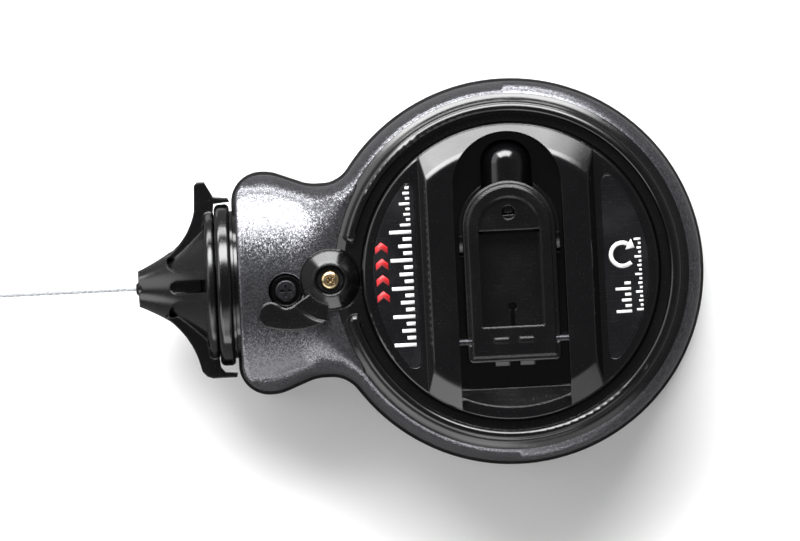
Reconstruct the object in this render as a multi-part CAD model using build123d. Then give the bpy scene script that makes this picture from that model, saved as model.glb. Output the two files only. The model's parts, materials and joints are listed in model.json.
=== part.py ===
from build123d import *
import math
import os

# Chalk line reel. Millimetres. The reel's axis is Z and the crank face looks up (+Z). The flat back lies
# on z = 0, and the line leaves the nozzle along -X. The origin is where the reel's axis meets the back face.

# ---------------------------------------------------------------- driving dimensions
HOUSING_R = 55.0            # radius of the round housing
SHELL_TOP = 47.0            # height of the front shell's face
SPLIT_Z = SHELL_TOP / 2     # joint plane of the two shells, and height of the line
WALL = 2.6                  # shell wall
BACK_WALL = 3.0             # flat back wall
FRONT_INSET = 1.0           # the back shell stands this far outside the front shell
FRONT_ROUND = 5.5           # rounding of the front shell's top edge
FRONT_EDGE = 1.2            # rounding of its top edge at the neck's front face
CAVITY_ROUND = 3.0          # rounding of its cavity
BACK_ROUND = 4.0            # rounding of the back shell's bottom edge

NECK_FRONT_X = -78.5        # front face of the neck
FLARE_X = -67.0             # widest place of the neck
FLARE_HALF = 31.8
WAIST_X = -56.5             # narrowest place of the neck
WAIST_HALF = 27.7

DISC_R = 42.2               # crank disc
DISC_FACE = 51.2            # height of the disc's two label segments
DISC_BOTTOM = 35.8
BAND_TOP = 55.0             # height of the raised band across the disc
BAND_HALF = 23.0
BAND_SLOPE_X = 1.9          # run of the band's sloped sides
BAND_END_R = 35.0           # from here the band's ends are coned down to the disc's rim
BAND_END_BLEND = 6.0
POCKET_HALF = 15.5          # pocket in the band that takes the folded arm
POCKET_FLOOR = 37.4
POCKET_TOP_Y = 39.7
POCKET_END_R = 38.6         # the pocket's lower end follows the disc
SCOOP_Y = -33.0             # where the deep pocket ends and the finger scoop starts

COVER_BORE = 42.6           # bore of the side cover around the disc
COVER_SKIRT_R = 47.4
COVER_FLOOR = 48.2          # groove between disc and bead
BEAD_R = 46.4               # centre of the raised bead
BEAD_TOP = 51.0
BEAD_DOME_R = 2.0           # round shoulder on the bead's outer side
BEAD_LIP_R = 1.2            # round lip on its inner side

HINGE_Y = -19.6             # crank arm hinge, axis along X
HINGE_Z = 52.8
HINGE_PIN_R = 1.0
ARM_TOP = 54.2
ARM_HALF = 13.3
ARM_ROUND_Y = 12.4          # centre of the arm's round end
ARM_END_Y = -25.6
RAIL_IN = 8.7               # inner side of the arm's rails
FLANGE_T = 1.8              # thickness of the arm's top flange
WEB_OUT = 11.0              # outer side of the arm's webs
KNOB_Y = 10.5               # knob hinge, axis along X
KNOB_Z = 44.8
KNOB_R = 7.2
KNOB_TIP_Y = 37.4
KNOB_BASE_Y = 16.2
BRACKET_R = 14.3

LEVER_X = -51.3             # brake lever pivot
LEVER_R = 8.3
PAD_TOP = 47.6              # face of the cover's lobe under the lever

MODULE = 1.25               # planetary gear train
SUN_TEETH = 12
PLANET_TEETH = 18
RING_TEETH = 48
PLANETS = 3
PLANET_ORBIT = MODULE * (SUN_TEETH + PLANET_TEETH) / 2
GEAR_Z = (27.2, 33.4)       # face of the planets

SPOOL_R = 36.5
SPOOL_HUB_R = 12.0
SPOOL_NECK_R = 8.0          # the back flange is pressed on to this
LINE_PACK_R = 30.0
LINE_R = 0.5
WIND_Z = (7.8, 20.0)        # space between the spool's flanges
AXLE_R = 3.0
RUN_GAP = 0.05              # running clearance on a radius
PLATE_Z = (24.6, 26.6)      # wall between chalk room and gear room
SLEEVE_R = 4.6              # sleeve of the spool that carries the sun gear
PLANET_PIN_R = 2.0
CARRIER_LOW = 33.8
FLANGE_LOW = 6.0            # underside of the spool's back flange
FLANGE_TOP = 22.0           # upper side of the spool's front flange
SCREW_R = 1.1               # thread of the small screws
CARRIER_SCREW_R = 1.0
SHAFT_R = 2.6               # brake lever shaft
KNOB_AXLE_R = 1.6
KNOB_AXLE_HEAD = 3.0

TIP_X = -106.0              # nozzle tip
NOZZLE_BASE_X = -86.5
COLLAR_X = -83.6            # front of the fixed collar ring
COLLAR_BACK_X = -79.3
COLLAR_R = 23.0
NOZZLE_RING_R = 21.3
MOUTH_R = 17.6              # filling mouth
NECK_BORE_R = 20.0

HOOK_X = -150.0             # where the line enters the hook's crimp
HOOK_LENGTH = 24.0
NAIL_HOLE_R = 1.75

MIN = Align.MIN
MID = Align.CENTER


# ---------------------------------------------------------------- helpers
def rod(radius, low, high, x=0.0, y=0.0):
    """Upright cylinder between two heights."""
    return Pos(x, y, low) * Cylinder(radius, high - low, align=(MID, MID, MIN))


def tube(outer, inner, low, high, x=0.0, y=0.0):
    """Upright tube between two heights."""
    return rod(outer, low, high, x, y) - rod(inner, low - 1, high + 1, x, y)


def rod_x(radius, low, high, y=0.0, z=0.0):
    """Cylinder along X between two places."""
    return Pos(low, y, z) * Rot(0, 90, 0) * Cylinder(radius, high - low, align=(MID, MID, MIN))


def rod_y(radius, low, high, x=0.0, z=0.0):
    """Cylinder along Y between two places."""
    return Pos(x, low, z) * Rot(-90, 0, 0) * Cylinder(radius, high - low, align=(MID, MID, MIN))


def block(x, y, z):
    """Box between the pairs x, y and z."""
    size = (x[1] - x[0], y[1] - y[0], z[1] - z[0])
    return Pos(x[0], y[0], z[0]) * Box(*size, align=(MIN, MIN, MIN))


def prism(face, low, high):
    """Flat XY face raised between two heights."""
    return Pos(0, 0, low) * extrude(face, high - low)


def turned(points):
    """Solid of revolution about Z from (radius, z) points."""
    return revolve(Plane.XZ * make_face(Polyline(*points, close=True)), Axis.Z)


def turned_x(points, z=SPLIT_Z):
    """Solid of revolution about the line's axis from (x, radius) points."""
    profile = make_face(Polyline(*points, close=True))
    return Pos(0, 0, z) * revolve(profile, Axis.X)


def side_profile(points, half):
    """(y, z) outline extruded to both sides of x = 0."""
    face = Plane.YZ * make_face(Polyline(*points, close=True))
    return extrude(face, half, both=True)


def round_corner(face, x, y, radius):
    """Round the corner of a flat face that lies nearest to a point."""
    corner = face.vertices().sort_by_distance(Vector(x, y, 0))[0]
    return fillet(corner, radius)


def edges_at(shape, height, axis=Axis.Z):
    """Edges that lie flat at one height."""
    return shape.edges().filter_by_position(axis, height - 0.01, height + 0.01)


def ring_of(shape, count, start=0.0):
    """Copies of a shape around the reel's axis."""
    return [Rot(0, 0, start + 360 * i / count) * shape for i in range(count)]


def pan_screw(x, y, seat, head_r, head_h, shank_r, tip, up=True):
    """Pan head screw with a cross slot: up puts its head on the +Z side."""
    way = 1 if up else -1
    top = seat + way * head_h
    head = rod(head_r, min(seat, top), max(seat, top), x, y)
    head = fillet(edges_at(head, top), head_h * 0.45)
    shank = rod(shank_r, min(seat, tip), max(seat, tip), x, y)
    slot_low, slot_high = sorted((top - way * head_h * 0.6, top + way))
    slot = block((x - head_r * 0.55, x + head_r * 0.55), (y - head_r * 0.12, y + head_r * 0.12),
                 (slot_low, slot_high))
    cross = slot + Pos(x, y, 0) * Rot(0, 0, 90) * Pos(-x, -y, 0) * slot
    return head + shank - cross


# ---------------------------------------------------------------- gears
PRESSURE = math.radians(25)
BACKLASH = 0.10


def involute_points(teeth, tip_r, root_r, thin):
    """One tooth's outline, centred on +X, from its right root to its left root."""
    pitch_r = MODULE * teeth / 2
    base_r = pitch_r * math.cos(PRESSURE)
    half_pitch_angle = math.pi / (2 * teeth) - thin / (2 * pitch_r)
    inv_pitch = math.tan(PRESSURE) - PRESSURE
    low_r = max(base_r, root_r)
    flank = []
    for i in range(6):
        r = low_r + (tip_r - low_r) * i / 5
        angle = math.acos(min(1.0, base_r / r))
        spread = half_pitch_angle + inv_pitch - (math.tan(angle) - angle)
        flank.append((r, spread))
    if root_r < base_r:
        flank.insert(0, (root_r, flank[0][1]))
    right = [(r * math.cos(s), -r * math.sin(s)) for r, s in flank]
    left = [(r * math.cos(s), r * math.sin(s)) for r, s in reversed(flank)]
    return right + left


def gear_outline(teeth, tip_r, root_r, thin, phase):
    """Closed outline of a whole gear."""
    points = []
    tooth = involute_points(teeth, tip_r, root_r, thin)
    for i in range(teeth):
        turn = math.radians(phase) + 2 * math.pi * i / teeth
        c, s = math.cos(turn), math.sin(turn)
        points += [(x * c - y * s, x * s + y * c) for x, y in tooth]
    return make_face(Polyline(*points, close=True))


def outer_gear(teeth, phase, low, high, bore):
    """Spur gear about the origin with a round bore."""
    pitch_r = MODULE * teeth / 2
    face = gear_outline(teeth, pitch_r + 0.95 * MODULE, pitch_r - 1.2 * MODULE, BACKLASH, phase)
    return prism(face, low, high) - rod(bore, low - 1, high + 1)


def inner_gear(teeth, phase, low, high, outer):
    """Internal ring gear: its spaces are the teeth of a slightly fatter outer gear."""
    pitch_r = MODULE * teeth / 2
    space_phase = phase + 180 / teeth
    face = gear_outline(teeth, pitch_r + 1.2 * MODULE, pitch_r - 0.95 * MODULE, -BACKLASH, space_phase)
    return rod(outer, low, high) - prism(face, low - 1, high + 1)


# ---------------------------------------------------------------- housing outline
def body_outline(inset=0.0, longer=0.0):
    """Plan of the housing, a circle with a flared neck, drawn in by an inset; the neck may run on longer."""
    front, flare, waist = NECK_FRONT_X + inset - longer, FLARE_HALF - inset, WAIST_HALF - inset
    radius = HOUSING_R - inset
    upper = [(front, flare), (FLARE_X, flare), (WAIST_X, waist), (-30, waist)]
    lower = [(x, -y) for x, y in reversed(upper)]
    face = make_face(Polyline(*upper, *lower, close=True)) + Circle(radius)
    join_x = -math.sqrt(radius ** 2 - waist ** 2)
    for side in (1, -1):
        face = round_corner(face, join_x, side * waist, 9.0 + inset)
        face = round_corner(face, WAIST_X, side * waist, 12.0 + inset)
        face = round_corner(face, FLARE_X, side * flare, 12.0 - inset)
        face = round_corner(face, front, side * flare, 8.6 - inset)
    return face


def front_solid(inset, rounding=FRONT_ROUND):
    """Solid front half of the housing, drawn in by an inset: its neck is cut off crisply at the front."""
    top = SHELL_TOP - (inset - FRONT_INSET)
    rounded = prism(body_outline(inset, 2 * FRONT_ROUND), SPLIT_Z, top)
    crisp = prism(body_outline(inset), SPLIT_Z, top)
    return fillet(edges_at(rounded, top), rounding) & fillet(edges_at(crisp, top), FRONT_EDGE)


CASE_SCREW_ORBIT = 49.2
CASE_SCREWS = [(CASE_SCREW_ORBIT * math.cos(math.radians(a)), CASE_SCREW_ORBIT * math.sin(math.radians(a)))
               for a in (48, 112, 248, 312)] + [(-70.5, 26.0), (-70.5, -26.0)]
SCREW_BOSS_R = 2.9
NECK_SCREW = (-64.0, -2.5)
NECK_SCREW_BORE = 4.8
NECK_SCREW_R = 1.5
NECK_SCREW_SEAT = 45.2
CASE_SCREW_SEAT = 3.4
CASE_SCREW_HEAD = 2.4
BRACKET_Z = (34.0, 35.2)    # plate that carries the lever shaft


def front_shell():
    shell = front_solid(FRONT_INSET)
    cavity = front_solid(FRONT_INSET + WALL, CAVITY_ROUND)
    bosses = rod(2 * SHAFT_R, 40.0, 45.0, LEVER_X) + rod(3.6, BRACKET_Z[1], 45.0, *NECK_SCREW)
    for x, y in CASE_SCREWS:
        bosses += rod(SCREW_BOSS_R, SPLIT_Z, 40.0, x, y)
    bosses += rod(5.6, 44.0, 45.0, *NECK_SCREW)
    shell = shell - cavity + (bosses & shell)
    shell -= rod(COVER_SKIRT_R, SPLIT_Z - 1, SHELL_TOP + 1)
    shell -= rod_x(NECK_BORE_R, NECK_FRONT_X - 2, NECK_FRONT_X + 10, z=SPLIT_Z)
    shell -= rod(SHAFT_R + RUN_GAP, 30, 50, LEVER_X)
    shell -= rod(NECK_SCREW_BORE, NECK_SCREW_SEAT, 50, *NECK_SCREW)
    shell -= rod(NECK_SCREW_R, 30, 50, *NECK_SCREW)
    for x, y in CASE_SCREWS:
        shell -= rod(SCREW_R, SPLIT_Z - 1, 36, x, y)
    groove = block((46, 60), (-0.4, 0.4), (30, 50)) - front_solid(FRONT_INSET + 0.5, FRONT_ROUND - 0.5)
    return shell - groove


def back_shell():
    shell = prism(body_outline(), 0, SPLIT_Z)
    shell = fillet(edges_at(shell, 0), BACK_ROUND)
    cavity = prism(body_outline(WALL), BACK_WALL, SPLIT_Z + 1)
    cavity = fillet(edges_at(cavity, BACK_WALL), 1.5)
    bosses = rod(8.0, 1.0, 5.0)
    for x, y in CASE_SCREWS:
        bosses += rod(SCREW_BOSS_R, 1.0, SPLIT_Z, x, y)
    shell = shell - cavity + (bosses & prism(body_outline(), 0, SPLIT_Z))
    shell -= rod_x(NECK_BORE_R, NECK_FRONT_X - 2, NECK_FRONT_X + 10, z=SPLIT_Z)
    shell -= rod(AXLE_R, 1.4, 10)
    for x, y in CASE_SCREWS:
        shell -= rod(SCREW_R, -1, SPLIT_Z + 1, x, y) + rod(CASE_SCREW_HEAD + 0.2, -1, CASE_SCREW_SEAT, x, y)
    return shell


def case_screws():
    screws = [pan_screw(x, y, CASE_SCREW_SEAT, CASE_SCREW_HEAD, 1.8, SCREW_R, 34.0, up=False)
              for x, y in CASE_SCREWS]
    return Compound(children=screws)


# ---------------------------------------------------------------- side cover
BEAD_GAP_HALF = 12.0        # the bead stops this far from the neck's centre line
BEAD_STEP_Z = 48.0          # foot of the bead's shoulder, top of its apron
BEAD_FOOT_R = 50.6          # outer edge of the bead's apron
BEAD_FOOT_Z = 46.75
COVER_BASE_Z = 45.6


def bead_side(crest):
    """Outer side of the bead from its crest: a round shoulder, a short drop and a hollow apron."""
    side, foot = crest + BEAD_DOME_R, crest + BEAD_FOOT_R - BEAD_R
    slant = BEAD_DOME_R * math.sqrt(0.5)
    shoulder = ThreePointArc((crest, BEAD_TOP), (crest + slant, BEAD_TOP - BEAD_DOME_R + slant),
                             (side, BEAD_TOP - BEAD_DOME_R))
    drop = Line(shoulder @ 1, (side, BEAD_STEP_Z))
    return [shoulder, drop, ThreePointArc(drop @ 1, (side + 0.7, BEAD_STEP_Z - 0.55), (foot, BEAD_FOOT_Z))]


def bead_end():
    """Round end of the bead, turned about the end of its crest."""
    foot = BEAD_FOOT_R - BEAD_R
    base = Polyline((foot, BEAD_FOOT_Z), (foot, COVER_BASE_Z), (0, COVER_BASE_Z), (0, BEAD_TOP))
    return Pos(BEAD_R, 0, 0) * revolve(Plane.XZ * make_face(bead_side(0) + [base]), Axis.Z)


def bead(gap):
    """Raised bead around the disc, open for the neck by a gap angle to each side of -X."""
    inner_r, lip_z = BEAD_R - BEAD_LIP_R, BEAD_TOP - BEAD_LIP_R
    slant = BEAD_LIP_R * math.sqrt(0.5)
    lip = ThreePointArc((inner_r, lip_z), (BEAD_R - slant, lip_z + slant), (BEAD_R, BEAD_TOP))
    base = Polyline((BEAD_FOOT_R, BEAD_FOOT_Z), (BEAD_FOOT_R, COVER_BASE_Z), (inner_r, COVER_BASE_Z),
                    (inner_r, lip_z))
    face = Plane.XZ * make_face([lip, base] + bead_side(BEAD_R))
    ring = Rot(0, 0, 180 + gap) * revolve(face, Axis.Z, 360 - 2 * gap)
    for side in (-1, 1):
        ring += Rot(0, 0, 180 + side * gap) * bead_end() - rod(inner_r, 40, 60)
    return ring


def lever_lobe():
    """Pad under the brake lever that narrows towards the disc."""
    pad_r = LEVER_R + 0.5
    plan = Pos(LEVER_X, 0) * Circle(pad_r)
    plan += make_face(Polyline((LEVER_X, pad_r), (LEVER_X, -pad_r), (-41.0, -4.8), (-41.0, 4.8), close=True))
    return prism(plan, 46.0, PAD_TOP) - rod(COVER_BORE, 40, 60)


def side_cover():
    wall = turned([(COVER_BORE, 38.4), (44.6, 38.4), (44.6, 26.6), (COVER_SKIRT_R, 26.6),
                   (COVER_SKIRT_R, COVER_FLOOR), (COVER_BORE, COVER_FLOOR)])
    wall -= tube(46.2, 44.4, 40.0, COVER_BASE_Z + 0.2)
    gap = math.degrees(math.asin(BEAD_GAP_HALF / BEAD_R))
    low_face = Plane.XZ * make_face(Polyline((45.2, COVER_BASE_Z), (45.2, COVER_FLOOR), (47.4, COVER_FLOOR),
                                             (BEAD_FOOT_R, BEAD_FOOT_Z), (BEAD_FOOT_R, COVER_BASE_Z),
                                             close=True))
    link = Rot(0, 0, 180 - gap) * revolve(low_face, Axis.Z, 2 * gap)
    cover = wall + bead(gap) + link + lever_lobe()
    cover -= front_solid(FRONT_INSET) - rod(COVER_SKIRT_R, SPLIT_Z, SHELL_TOP + 1)
    cover -= rod(3.2, 30, 60, LEVER_X) + rod(LEVER_R + 0.8, PAD_TOP, 60, LEVER_X)
    cover -= block((-49, -40), (-8.5, 8.5), (35.2, 38.4))
    return cover


# ---------------------------------------------------------------- gear train
RING_GEAR_R = 37.0
RING_SCREW_ORBIT = 34.6
SEAL_R = 8.0


def gear_plate():
    plate = rod(COVER_SKIRT_R, *PLATE_Z) - rod(SEAL_R, 20, 30)
    for hole in ring_of(rod(SCREW_R, 20, 30, 46.0), PLANETS, 30):
        plate -= hole
    for hole in ring_of(rod(SCREW_R, 20, 30, RING_SCREW_ORBIT), PLANETS, 0):
        plate -= hole
    return plate


def ring_gear():
    ring = inner_gear(RING_TEETH, 0, PLATE_Z[1], GEAR_Z[1] + 0.2, RING_GEAR_R)
    for hole in ring_of(rod(SCREW_R, 20, 32.0, RING_SCREW_ORBIT), PLANETS, 0):
        ring -= hole
    return ring


def ring_gear_screws():
    screw = pan_screw(RING_SCREW_ORBIT, 0, PLATE_Z[0], 2.0, 1.0, SCREW_R, 31.5, up=False)
    return Compound(children=ring_of(screw, PLANETS, 0))


def sun_gear():
    return outer_gear(SUN_TEETH, 0, PLATE_Z[1] + 0.2, GEAR_Z[1], SLEEVE_R)


def planet_place(i):
    return 90 + 360 * i / PLANETS


def planet_gear(i):
    place = planet_place(i)
    gear = outer_gear(PLANET_TEETH, place + 170, *GEAR_Z, PLANET_PIN_R + RUN_GAP)
    gear -= tube(8.4, 4.2, GEAR_Z[1] - 1.2, GEAR_Z[1] + 1)
    x = PLANET_ORBIT * math.cos(math.radians(place))
    y = PLANET_ORBIT * math.sin(math.radians(place))
    return Pos(x, y, 0) * gear


CARRIER_SCREWS = [(x, y) for x in (-17.0, 17.0) for y in (-15.0, 15.0)]


def countersink(x, y):
    """Conical head of a carrier screw."""
    return Pos(x, y, CARRIER_LOW) * Cone(2 * CARRIER_SCREW_R, CARRIER_SCREW_R, 1.1, align=(MID, MID, MIN))


def planet_carrier():
    carrier = rod(26.0, CARRIER_LOW, DISC_BOTTOM) - rod(AXLE_R + RUN_GAP, 30, 40)
    for hole in ring_of(rod(PLANET_PIN_R, 30, 40, PLANET_ORBIT), PLANETS, planet_place(0)):
        carrier -= hole
    for x, y in CARRIER_SCREWS:
        carrier -= rod(CARRIER_SCREW_R, 30, 40, x, y) + countersink(x, y)
    return carrier


def planet_pins():
    pin = rod(PLANET_PIN_R, 27.0, 35.6, PLANET_ORBIT)
    return Compound(children=ring_of(pin, PLANETS, planet_place(0)))


def carrier_screws():
    screws = []
    for x, y in CARRIER_SCREWS:
        screws.append(countersink(x, y) + rod(CARRIER_SCREW_R, 34.5, 42.0, x, y) - rod(0.7, 33, 34.5, x, y))
    return Compound(children=screws)


# ---------------------------------------------------------------- spool
def spool_axle():
    axle = rod(AXLE_R, 1.4, 35.6)
    return chamfer(edges_at(axle, 35.6), 0.4)


def thrust_washer():
    return tube(7.0, AXLE_R + RUN_GAP, FLANGE_LOW - 1.0, FLANGE_LOW)


def spool_windows():
    """Round openings in the spool's flanges."""
    return ring_of(rod(4.4, 0, 30, 24.0), 6, 30)


def spool_drum():
    drum = rod(SPOOL_R, WIND_Z[1], FLANGE_TOP) + rod(SPOOL_HUB_R, WIND_Z[0], WIND_Z[1])
    drum = fillet(edges_at(drum, FLANGE_TOP), 0.6)
    drum += rod(SPOOL_NECK_R, FLANGE_LOW, WIND_Z[0]) + rod(SLEEVE_R, FLANGE_TOP, GEAR_Z[1])
    drum -= rod(AXLE_R + RUN_GAP, 0, 40)
    for window in spool_windows():
        drum -= window
    return drum


def spool_back_flange():
    flange = tube(SPOOL_R, SPOOL_NECK_R, FLANGE_LOW, WIND_Z[0])
    for window in spool_windows():
        flange -= window
    return flange


def line_wound():
    low, high = WIND_Z[0] + 0.2, WIND_Z[1] - 0.2
    pack = tube(LINE_PACK_R, SPOOL_HUB_R, low, high)
    return fillet(pack.edges().filter_by(GeomType.CIRCLE).sort_by(SortBy.RADIUS)[-2:], 2.0)


def axle_seal():
    return tube(SEAL_R, SLEEVE_R + RUN_GAP, *PLATE_Z)


# ---------------------------------------------------------------- crank disc
def band():
    """Raised band across the disc: sloped sides, and ends coned down to the disc's rim."""
    foot, rim = BAND_HALF + BAND_SLOPE_X, DISC_R - 0.6
    across = Plane.XZ * make_face(Polyline((-foot, 40), (-foot, DISC_FACE), (-BAND_HALF, BAND_TOP),
                                           (BAND_HALF, BAND_TOP), (foot, DISC_FACE), (foot, 40), close=True))
    ends = turned([(0, 40), (rim, 40), (rim, DISC_FACE), (BAND_END_R, BAND_TOP), (0, BAND_TOP)])
    ends = fillet(edges_at(ends, BAND_TOP), BAND_END_BLEND)
    solid = extrude(across, 50, both=True) & ends
    return fillet(edges_at(solid, BAND_TOP).filter_by(Axis.Y), 0.8)


def pocket_plan():
    """Plan of the pocket: straight sides, a round upper end and an end that follows the disc."""
    round_y = POCKET_TOP_Y - POCKET_HALF
    plan = Pos(0, round_y) * Circle(POCKET_HALF)
    plan += Pos(0, (round_y - 50) / 2) * Rectangle(2 * POCKET_HALF, round_y + 50)
    return plan & (Circle(POCKET_END_R) + Pos(0, 30) * Rectangle(60, 60))


SCOOP_Z = (47.5, 48.6)      # the finger scoop rises a little towards the rim
LABEL_RECESS = 0.3
DISC_SKIN = 2.6
PIN_HALF = 18.0             # half length of the arm's hinge pin


def crank_disc():
    disc = rod(DISC_R, DISC_BOTTOM, DISC_FACE)
    disc = fillet(edges_at(disc, DISC_FACE), 1.2)
    disc += rod(DISC_R + 2.0, DISC_BOTTOM, DISC_BOTTOM + 2.4)
    disc += band()
    pocket = pocket_plan()
    deep = pocket & Pos(0, 50 + SCOOP_Y) * Rectangle(60, 100)
    disc -= prism(deep, POCKET_FLOOR, 60)
    scoop = side_profile([(SCOOP_Y + 1, SCOOP_Z[0]), (SCOOP_Y, SCOOP_Z[0]), (-POCKET_END_R, SCOOP_Z[1]),
                          (-POCKET_END_R, 60), (SCOOP_Y + 1, 60)], POCKET_HALF)
    disc -= scoop & prism(pocket, 40, 60)
    disc -= block((-POCKET_HALF, POCKET_HALF), (-60, SCOOP_Y - 3), (2 * HINGE_Z - ARM_TOP - 0.4, 60))
    hollow = Circle(39.4) & (Pos(60, 0) * Rectangle(82, 100) + Pos(-60, 0) * Rectangle(82, 100))
    disc -= prism(hollow, DISC_BOTTOM - 1, DISC_FACE - DISC_SKIN)
    disc -= prism(label_face(0.1), DISC_FACE - LABEL_RECESS, 60)
    disc -= rod_x(HINGE_PIN_R, -PIN_HALF - 0.2, PIN_HALF + 0.2, HINGE_Y, HINGE_Z)
    for x, y in CARRIER_SCREWS:
        disc -= rod(CARRIER_SCREW_R, DISC_BOTTOM - 1, 42.0, x, y)
    return disc


def label_face(grow=0.0):
    """Plan of the two label panels beside the band."""
    inner = BAND_HALF + BAND_SLOPE_X + 1.6 - grow
    face = Circle(DISC_R - 3.0 + grow) - Rectangle(2 * inner, 100)
    for x in (-inner, inner):
        reach = math.sqrt((DISC_R - 3.0 + grow) ** 2 - inner ** 2)
        for y in (-reach, reach):
            face = round_corner(face, x, y, 2.0)
    return face


def label_panel(side):
    half = Pos(side * 50, 0) * Rectangle(100, 100)
    return prism(label_face() & half, DISC_FACE - LABEL_RECESS, DISC_FACE - 0.05)


def arm_hinge_pin():
    return rod_x(HINGE_PIN_R, -PIN_HALF, PIN_HALF, HINGE_Y, HINGE_Z)


# ---------------------------------------------------------------- crank arm
def stadium(half, round_y, end_y):
    """Plan with a round upper end and a square lower end."""
    body = Pos(0, (round_y + end_y) / 2) * Rectangle(2 * half, round_y - end_y)
    return body + Pos(0, round_y) * Circle(half)


ARM_STEP = 1.4              # width of the low shoulder around the flange
ARM_FLOOR = (46.6, 48.0)
FINGER_IN, FINGER_OUT = 1.45, 5.65
KNUCKLE_R = 1.9


def arm_flange():
    """Top flange of the arm: a low shoulder all round and an opening with a half-round plate in its end."""
    low, step = ARM_TOP - FLANGE_T, ARM_TOP - 0.55
    outline = stadium(ARM_HALF, ARM_ROUND_Y, ARM_END_Y)
    raised = stadium(ARM_HALF - ARM_STEP, ARM_ROUND_Y, ARM_END_Y + ARM_STEP)
    for side in (1, -1):
        outline = round_corner(outline, side * ARM_HALF, ARM_END_Y, 1.5)
    flange = fillet(edges_at(prism(outline, low, step), step), 0.7)
    flange += fillet(edges_at(prism(raised, low, ARM_TOP), ARM_TOP), 0.45)
    flange -= prism(stadium(RAIL_IN, ARM_ROUND_Y, HINGE_Y + 4.0), low - 1, ARM_TOP + 1)
    plate = Pos(0, ARM_ROUND_Y) * Circle(RAIL_IN) & Pos(0, ARM_ROUND_Y + 9.2) * Rectangle(20, 20)
    return flange + prism(plate, low, low + 0.7) - rod(1.8, 40, 60, 0, 16.7)


def arm_webs():
    """Side webs under the flange, with an eye for each knob hinge pin."""
    low = ARM_TOP - FLANGE_T
    webs = side_profile([(ARM_END_Y + 0.4, ARM_FLOOR[0]), (ARM_END_Y + 0.4, low), (KNOB_Y + 2.0, low),
                         (KNOB_Y + 6.0, KNOB_Z), (KNOB_Y, KNOB_Z - 6.0), (KNOB_Y - 5.0, KNOB_Z - 3.6),
                         (0.0, ARM_FLOOR[0])], WEB_OUT)
    webs += rod_x(6.0, -WEB_OUT, WEB_OUT, KNOB_Y, KNOB_Z)
    return webs - block((-RAIL_IN, RAIL_IN), (-60, 60), (30, 60))


def arm_floor():
    """Floor between the webs, with a keyhole slit."""
    floor = block((-RAIL_IN, RAIL_IN), (HINGE_Y + 2, KNOB_Y + 0.5), ARM_FLOOR)
    return floor - block((-0.45, 0.45), (HINGE_Y, -9.9), (40, 60)) - rod(1.1, 40, 60, 0, -9.9)


def arm_hinge_end():
    """Cross wall, the barrel around the hinge pin and the two fingers."""
    end = block((-RAIL_IN, RAIL_IN), (HINGE_Y - 1.8, HINGE_Y + 2.6), (ARM_FLOOR[0], HINGE_Z - 1.4))
    end += block((-RAIL_IN, RAIL_IN), (HINGE_Y + 1.6, HINGE_Y + 3.0), (ARM_FLOOR[0], ARM_TOP - 0.6))
    end += block((-RAIL_IN, RAIL_IN), (HINGE_Y - 5.4, HINGE_Y), (ARM_FLOOR[1], 50.2))
    for side in (-1, 1):
        low, high = sorted((side * FINGER_IN, side * FINGER_OUT))
        finger = side_profile([(HINGE_Y - 7.2, 47.4), (HINGE_Y - 7.2, 50.6), (HINGE_Y - 1.8, ARM_TOP - 1.0),
                               (HINGE_Y + 2.0, ARM_TOP - 1.0), (HINGE_Y + 2.0, 47.4)], (high - low) / 2)
        end += Pos((low + high) / 2, 0, 0) * finger + rod_x(KNUCKLE_R, low, high, HINGE_Y, HINGE_Z - 0.3)
    return end


def crank_arm():
    arm = arm_flange() + arm_webs() + arm_floor() + arm_hinge_end()
    arm -= rod_x(HINGE_PIN_R + RUN_GAP, -20, 20, HINGE_Y, HINGE_Z)
    return arm - rod_x(HINGE_PIN_R + RUN_GAP, -20, 20, KNOB_Y, KNOB_Z)


# ---------------------------------------------------------------- knob
def knob_bracket():
    """Yoke under the arm's round end: it carries the knob and has a slot for each of the arm's webs."""
    top, low = ARM_TOP - FLANGE_T - 0.2, KNOB_Z - 3.6
    hub_r = 6.4
    plan = Pos(0, ARM_ROUND_Y) * Circle(BRACKET_R)
    plan += Pos(0, (ARM_ROUND_Y + KNOB_Y - hub_r) / 2) * Rectangle(2 * BRACKET_R,
                                                                  ARM_ROUND_Y - KNOB_Y + hub_r)
    side = Pos(KNOB_Y, KNOB_Z) * Circle(hub_r)
    side += Pos(KNOB_Y + 10, (top + low) / 2) * Rectangle(20, top - low)
    body = prism(plan, 30, 60) & extrude(Plane.YZ * side, 30, both=True)
    inside = RAIL_IN - 0.2
    body -= block((-inside, inside), (KNOB_Y - 10, KNOB_Y + 1.2), (30, 60))
    for way in (-1, 1):
        slot = sorted((way * (inside - 0.1), way * (WEB_OUT + 0.2)))
        body -= block(slot, (0, KNOB_Y + 6.6), (30, 60))
    body -= block((-KNOB_R - 0.2, KNOB_R + 0.2), (KNOB_BASE_Y - 0.2, 40), (30, 60))
    body -= rod_x(HINGE_PIN_R, -20, 20, KNOB_Y, KNOB_Z)
    return body - rod_y(KNOB_AXLE_R, 0, 40, z=KNOB_Z)


def knob_hinge_pin():
    side = rod_x(HINGE_PIN_R, RAIL_IN - 1.4, BRACKET_R - 0.1, KNOB_Y, KNOB_Z)
    return Compound(children=[side, mirror(side, Plane.YZ)])


def knob_axle():
    head_y = KNOB_TIP_Y - 5.0
    shank = rod_y(KNOB_AXLE_R, KNOB_Y + 1.2, head_y, z=KNOB_Z)
    return shank + rod_y(KNOB_AXLE_HEAD, head_y, head_y + 1.4, z=KNOB_Z)


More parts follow.
